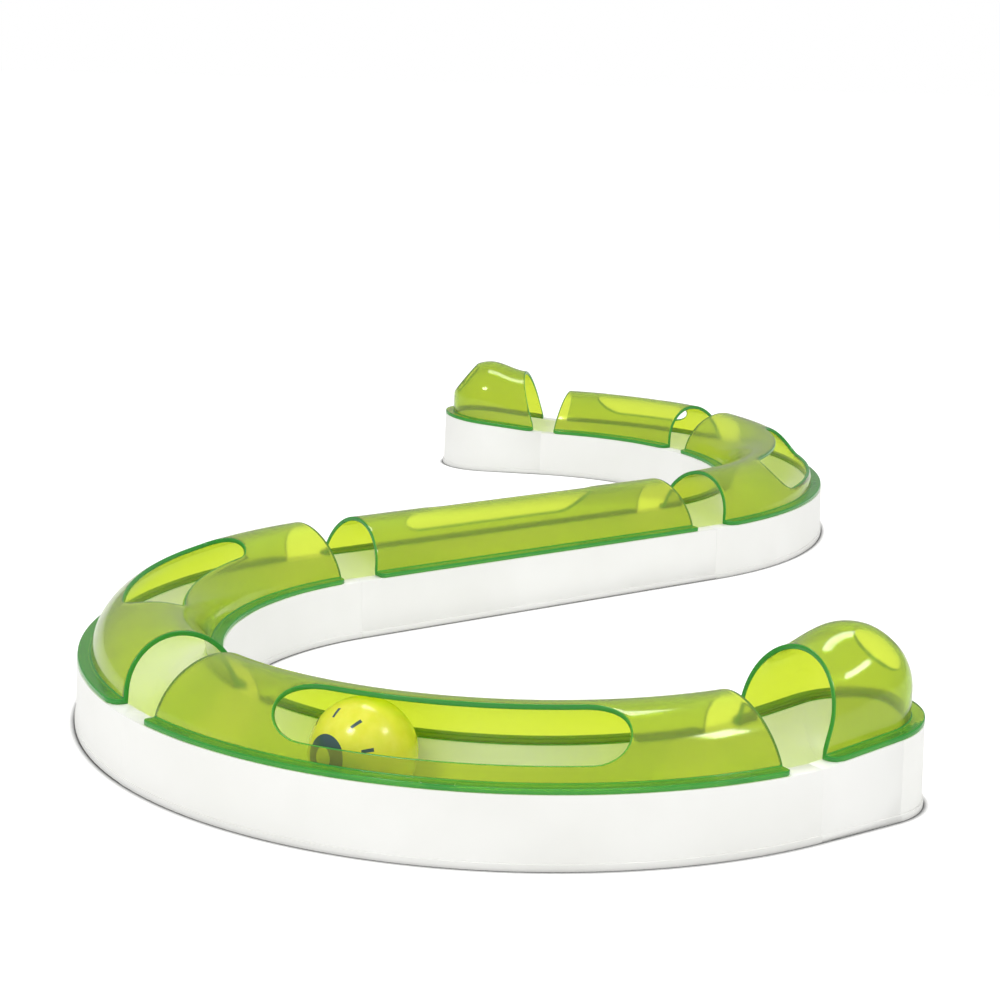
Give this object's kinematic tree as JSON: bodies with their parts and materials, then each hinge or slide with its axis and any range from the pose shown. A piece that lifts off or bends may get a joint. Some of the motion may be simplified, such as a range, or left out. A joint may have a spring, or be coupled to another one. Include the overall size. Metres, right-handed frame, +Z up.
{
  "type": "cat ball track toy",
  "caption": "S-shaped pet toy track of joined white channel bases with clear green clip-on covers, paw gaps and windows, and a ball that rolls inside.",
  "frame": {"origin": "on the floor at the middle of the box that the whole toy fits in, 2 mm in front of the middle of the straight base", "axes": "+Z up, +Y towards the rear curve and away from the viewer, +X to the viewer's right"},
  "size_m": [0.3532, 0.7275, 0.0659],
  "materials": {
    "base_white": "satin",
    "cover_green": "gloss",
    "ball_shell": "gloss"
  },
  "bodies": {
    "track": {"base_front_end": "base_white", "base_front_curve": "base_white", "base_left_curve": "base_white", "base_straight": "base_white", "base_right_curve": "base_white", "base_rear_curve": "base_white", "base_rear_end": "base_white"},
    "cover_front_end_body": {"cover_front_end": "cover_green"},
    "cover_front_curve_body": {"cover_front_curve": "cover_green"},
    "cover_left_curve_body": {"cover_left_curve": "cover_green"},
    "cover_straight_body": {"cover_straight": "cover_green"},
    "cover_right_curve_body": {"cover_right_curve": "cover_green"},
    "cover_rear_curve_body": {"cover_rear_curve": "cover_green"},
    "cover_rear_end_body": {"cover_rear_end": "cover_green"},
    "ball": {"ball_outer_half": "ball_shell", "ball_inner_half": "ball_shell"}
  },
  "joints": [
    {"name": "ball_travel", "type": "hinge", "parent": "track", "child": "ball", "pos_m": [0.00192, -0.18534, 0.0263], "axis": [0, 0, 1], "range_deg": [-121.5, 60]},
    {"name": "front_end_cover_lift", "type": "slide", "parent": "track", "child": "cover_front_end_body", "axis": [0, 0, 1], "range_m": [0, 0.06]},
    {"name": "front_curve_cover_lift", "type": "slide", "parent": "track", "child": "cover_front_curve_body", "axis": [0, 0, 1], "range_m": [0, 0.06]},
    {"name": "left_curve_cover_lift", "type": "slide", "parent": "track", "child": "cover_left_curve_body", "axis": [0, 0, 1], "range_m": [0, 0.06]},
    {"name": "straight_cover_lift", "type": "slide", "parent": "track", "child": "cover_straight_body", "axis": [0, 0, 1], "range_m": [0, 0.06]},
    {"name": "right_curve_cover_lift", "type": "slide", "parent": "track", "child": "cover_right_curve_body", "axis": [0, 0, 1], "range_m": [0, 0.06]},
    {"name": "rear_curve_cover_lift", "type": "slide", "parent": "track", "child": "cover_rear_curve_body", "axis": [0, 0, 1], "range_m": [0, 0.06]},
    {"name": "rear_end_cover_lift", "type": "slide", "parent": "track", "child": "cover_rear_end_body", "axis": [0, 0, 1], "range_m": [0, 0.06]}
  ]
}
